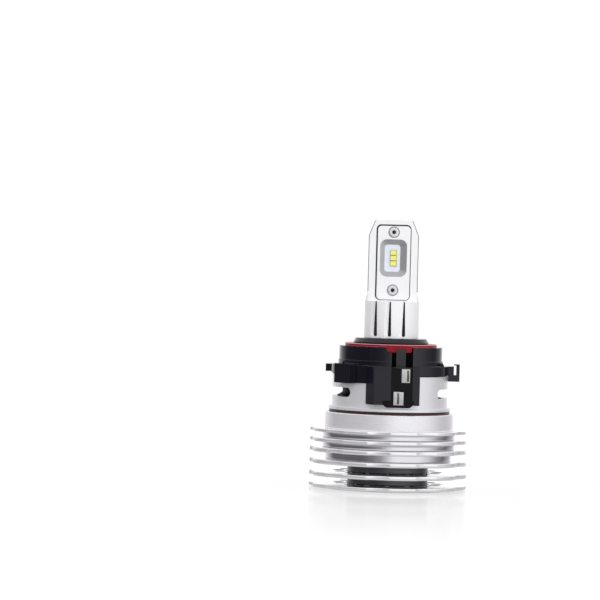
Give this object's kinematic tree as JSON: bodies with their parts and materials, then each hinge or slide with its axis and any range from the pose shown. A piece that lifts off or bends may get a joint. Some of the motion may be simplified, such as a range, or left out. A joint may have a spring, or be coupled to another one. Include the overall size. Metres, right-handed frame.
{
  "type": "headlight bulb",
  "caption": "Plug-in LED headlight bulb with a scalloped finned heat sink, a twist-on black contact adapter and a flat two-sided LED head.",
  "frame": {"origin": "centre of the heat sink's rear face, in the plane of the ring that the bulb rests on", "axes": "+Z along the bulb's axis from the heat sink to the LED head, -Y towards the contact block and the front LED row"},
  "size_m": [0.048, 0.048, 0.082],
  "materials": {
    "heat_sink_aluminium": "satin, bright-cut edges",
    "sleeve_aluminium": "satin",
    "stalk_aluminium": "bright satin",
    "cover_aluminium": "bright satin",
    "black_plastic": "moulded satin",
    "red_silicone": "soft satin",
    "dark_seal": "satin",
    "contact_metal": "bright plated",
    "steel": "bright",
    "led_board_white": "white solder mask",
    "led_phosphor": "yellow phosphor under clear silicone",
    "circuit_board": "green solder mask",
    "component_case": "matte",
    "wire_insulation": "satin"
  },
  "bodies": {
    "bulb": {"heat_sink": "heat_sink_aluminium", "sink_gasket": "dark_seal", "driver_sleeve": "sleeve_aluminium", "driver_board": "circuit_board", "board_screws": "steel", "driver_capacitor": "component_case", "driver_inductor": "component_case", "driver_chips": "component_case", "stalk": "stalk_aluminium", "stalk_collar": "black_plastic", "front_led_board": "led_board_white", "rear_led_board": "led_board_white", "front_led_chips": "led_phosphor", "rear_led_chips": "led_phosphor", "front_cover_plate": "cover_aluminium", "rear_cover_plate": "cover_aluminium", "front_cover_screws": "steel", "rear_cover_screws": "steel", "led_leads": "wire_insulation"},
    "adapter": {"adapter_ring": "black_plastic", "adapter_gasket": "red_silicone", "contact_carrier": "black_plastic", "contact_leads": "wire_insulation"},
    "upper_strip": {"upper_contact": "contact_metal"},
    "lower_strip": {"lower_contact": "contact_metal"}
  },
  "joints": [
    {"name": "adapter_twist", "type": "hinge", "parent": "bulb", "child": "adapter", "pos_m": [0, 0, 0.0385], "axis": [0, 0, 1], "range_deg": [-50, 0]},
    {"name": "upper_contact_press", "type": "slide", "parent": "adapter", "child": "upper_strip", "axis": [0, 1, 0], "range_m": [0, 0.0004], "stiffness_N_per_m": 2000},
    {"name": "lower_contact_press", "type": "slide", "parent": "adapter", "child": "lower_strip", "axis": [0, 1, 0], "range_m": [0, 0.0004], "stiffness_N_per_m": 2000}
  ]
}
